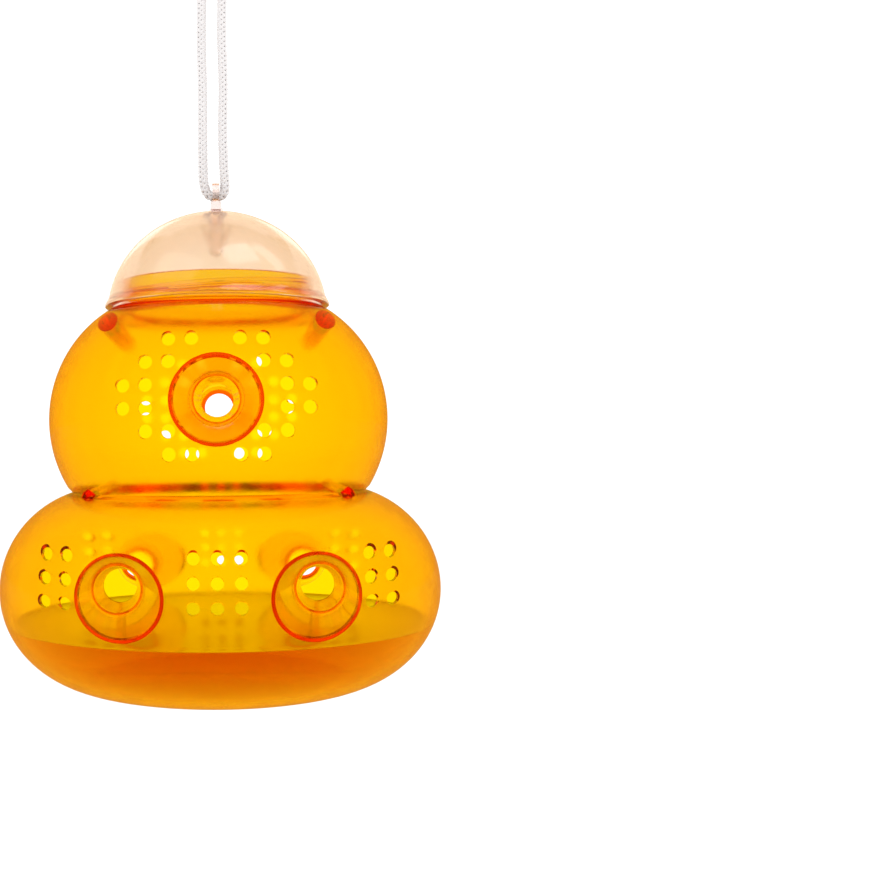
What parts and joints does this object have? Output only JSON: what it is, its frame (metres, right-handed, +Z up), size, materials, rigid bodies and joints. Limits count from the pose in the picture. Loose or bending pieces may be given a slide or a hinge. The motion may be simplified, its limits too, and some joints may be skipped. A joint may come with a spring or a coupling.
{
  "type": "wasp trap",
  "caption": "Hanging two-tier transparent wasp trap with funnel entries, vent holes, a screw-on dome cap, a swivelling hanger and a cord loop.",
  "frame": {"origin": "where the cord loop hangs on its nail or hook, on the underside of the cord at the top of the loop", "axes": "+Z up, -Y towards the front funnels, +X to the right seen from the front; the half-shells meet on the plane Y = 0"},
  "size_m": [0.1398, 0.1398, 0.3099],
  "materials": {
    "amber_shell": "clear amber, polished",
    "amber_funnel": "clear amber, polished",
    "bait": "clear liquid",
    "frosted_cap": "milky peach, satin",
    "hanger_plastic": "milky peach, satin",
    "white_cord": "white braid"
  },
  "bodies": {
    "hanging_parts": {"hanger": "hanger_plastic", "cord": "white_cord", "cord_knot": "white_cord"},
    "cap": {"cap_dome": "frosted_cap"},
    "trap_body": {"front_shell": "amber_shell", "rear_shell": "amber_shell", "front_funnel_upper": "amber_funnel", "front_funnel_lower_left": "amber_funnel", "front_funnel_lower_right": "amber_funnel", "rear_funnel_upper": "amber_funnel", "rear_funnel_lower_left": "amber_funnel", "rear_funnel_lower_right": "amber_funnel", "bait_liquid": "bait"}
  },
  "joints": [
    {"name": "cap_turn", "type": "hinge", "parent": "hanging_parts", "child": "cap", "pos_m": [0, 0, -0.158], "axis": [0, 0, 1], "range_deg": [0, 360]},
    {"name": "body_drop", "type": "slide", "parent": "hanging_parts", "child": "trap_body", "axis": [0, 0, -1], "range_m": [0, 0.009]}
  ],
  "couplings": [
    {"joint": "cap_turn", "follows": "body_drop", "rad_per_m": 698.13}
  ]
}
